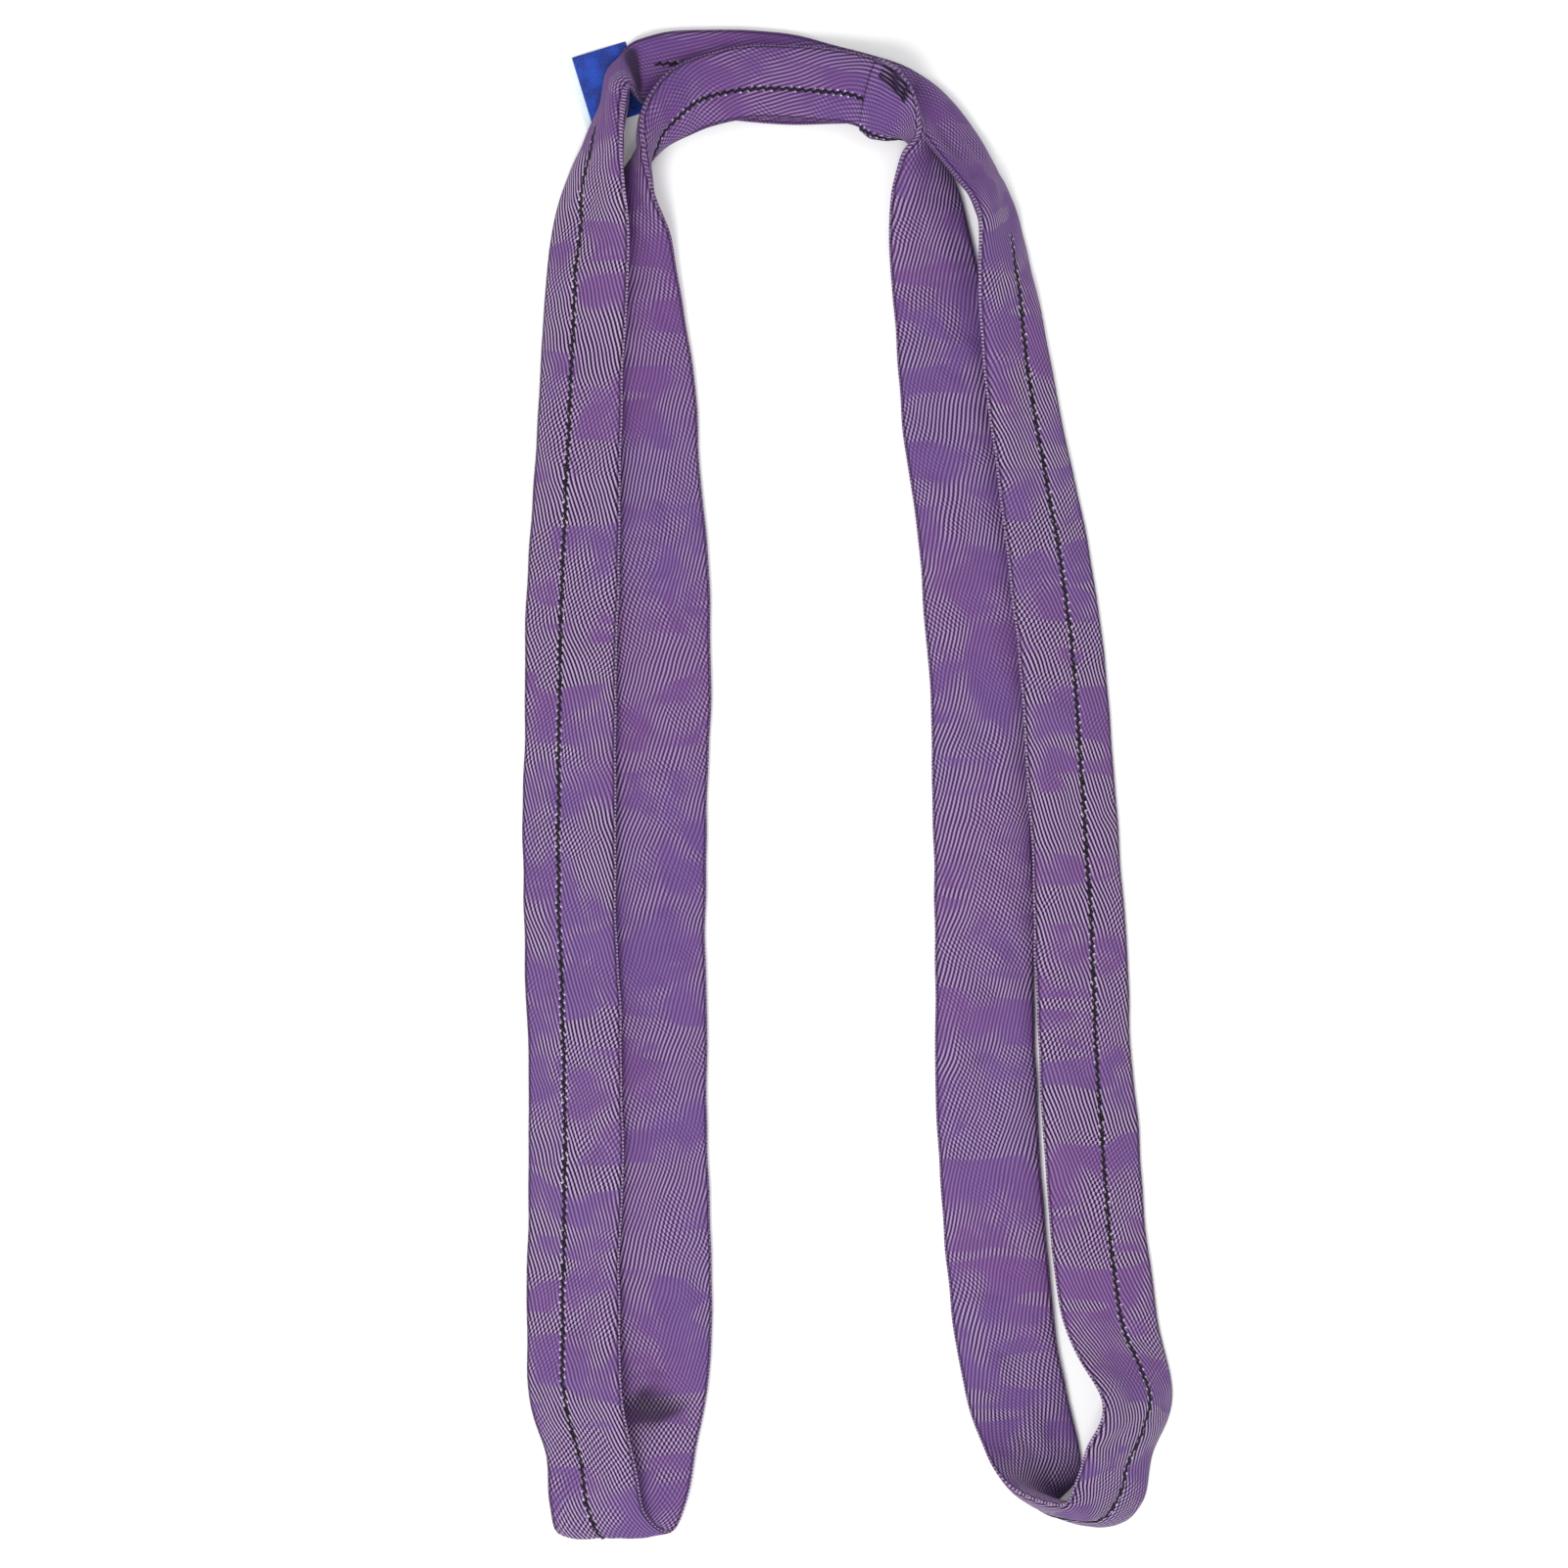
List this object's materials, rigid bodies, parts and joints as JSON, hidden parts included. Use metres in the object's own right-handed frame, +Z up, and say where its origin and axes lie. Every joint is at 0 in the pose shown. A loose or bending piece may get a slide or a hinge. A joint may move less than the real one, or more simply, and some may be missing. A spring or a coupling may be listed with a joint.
{
  "type": "round sling",
  "caption": "Endless tubular round sling, laid flat as a long U of doubled strands with an eye at each end, a sewn seam, a cuffed join and an identification label.",
  "frame": {"origin": "centre of the laid-out sling, on the ground plane", "axes": "+Y from the eyes towards the top bight, +X across towards the leg whose strands spread, +Z up from the ground"},
  "size_m": [0.3021, 0.6971, 0.0392],
  "materials": {
    "jacket_cloth": "plain-woven violet polyester, dull with a slight sheen",
    "core_yarn": "off-white untwisted polyester yarn",
    "sewing_thread": "black polyester sewing thread",
    "label_sheet": "plain blue printed-film label with no print on it",
    "cover_film": "clear soft film over the label"
  },
  "bodies": {
    "top_bight": {"jacket_top_outer": "jacket_cloth", "jacket_top_inner": "jacket_cloth", "jacket_top_cuff": "jacket_cloth", "core_top_outer": "core_yarn", "core_top_inner": "core_yarn", "seam_top_outer": "sewing_thread", "seam_top_inner": "sewing_thread", "seam_top_cuff": "sewing_thread", "cuff_tacks": "sewing_thread", "label_hem": "label_sheet", "label_stitches": "sewing_thread"},
    "label": {"label_flap": "label_sheet", "label_cover": "cover_film"},
    "left_upper_leg": {"jacket_left_upper_outer": "jacket_cloth", "jacket_left_upper_inner": "jacket_cloth", "core_left_upper_outer": "core_yarn", "core_left_upper_inner": "core_yarn", "seam_left_upper_outer": "sewing_thread", "seam_left_upper_inner": "sewing_thread"},
    "left_lower_leg": {"jacket_left_lower_outer": "jacket_cloth", "jacket_left_lower_inner": "jacket_cloth", "core_left_lower_outer": "core_yarn", "core_left_lower_inner": "core_yarn", "seam_left_lower_outer": "sewing_thread", "seam_left_lower_inner": "sewing_thread"},
    "left_eye": {"jacket_left_eye": "jacket_cloth", "core_left_eye": "core_yarn", "seam_left_eye": "sewing_thread"},
    "right_upper_leg": {"jacket_right_upper_outer": "jacket_cloth", "jacket_right_upper_inner": "jacket_cloth", "core_right_upper_outer": "core_yarn", "core_right_upper_inner": "core_yarn", "seam_right_upper_outer": "sewing_thread", "seam_right_upper_inner": "sewing_thread"},
    "right_lower_leg": {"jacket_right_lower_outer": "jacket_cloth", "jacket_right_lower_inner": "jacket_cloth", "core_right_lower_outer": "core_yarn", "core_right_lower_inner": "core_yarn", "seam_right_lower_outer": "sewing_thread", "seam_right_lower_inner": "sewing_thread"},
    "right_eye": {"jacket_right_eye": "jacket_cloth", "core_right_eye": "core_yarn", "seam_right_eye": "sewing_thread"}
  },
  "joints": [
    {"name": "left_upper_fold", "type": "hinge", "parent": "top_bight", "child": "left_upper_leg", "pos_m": [-0.1083, 0.17415, 0.0078], "axis": [1, 0, 0], "range_deg": [-60, 60], "stiffness_Nm_per_rad": 0.05},
    {"name": "left_middle_fold", "type": "hinge", "parent": "left_upper_leg", "child": "left_lower_leg", "pos_m": [-0.1093, -0.04385, 0.0076], "axis": [1, 0, 0], "range_deg": [-60, 60], "stiffness_Nm_per_rad": 0.05},
    {"name": "left_eye_fold", "type": "hinge", "parent": "left_lower_leg", "child": "left_eye", "pos_m": [-0.1068, -0.24285, 0.0076], "axis": [1, 0, 0], "range_deg": [-60, 60], "stiffness_Nm_per_rad": 0.05},
    {"name": "right_upper_fold", "type": "hinge", "parent": "top_bight", "child": "right_upper_leg", "pos_m": [0.0632, 0.17415, 0.0083], "axis": [0.9914, 0.1305, 0], "range_deg": [-60, 60], "stiffness_Nm_per_rad": 0.05},
    {"name": "right_middle_fold", "type": "hinge", "parent": "right_upper_leg", "child": "right_lower_leg", "pos_m": [0.0842, -0.04385, 0.0078], "axis": [0.999, 0.0454, 0], "range_deg": [-60, 60], "stiffness_Nm_per_rad": 0.05},
    {"name": "right_eye_fold", "type": "hinge", "parent": "right_lower_leg", "child": "right_eye", "pos_m": [0.0952, -0.24285, 0.0078], "axis": [0.9917, 0.1288, 0], "range_deg": [-60, 60], "stiffness_Nm_per_rad": 0.05},
    {"name": "label_flap_hinge", "type": "hinge", "parent": "top_bight", "child": "label", "pos_m": [-0.1207, 0.3113, 0.0006], "axis": [0.4695, 0.8829, 0], "range_deg": [-60, 20], "stiffness_Nm_per_rad": 0.002}
  ]
}
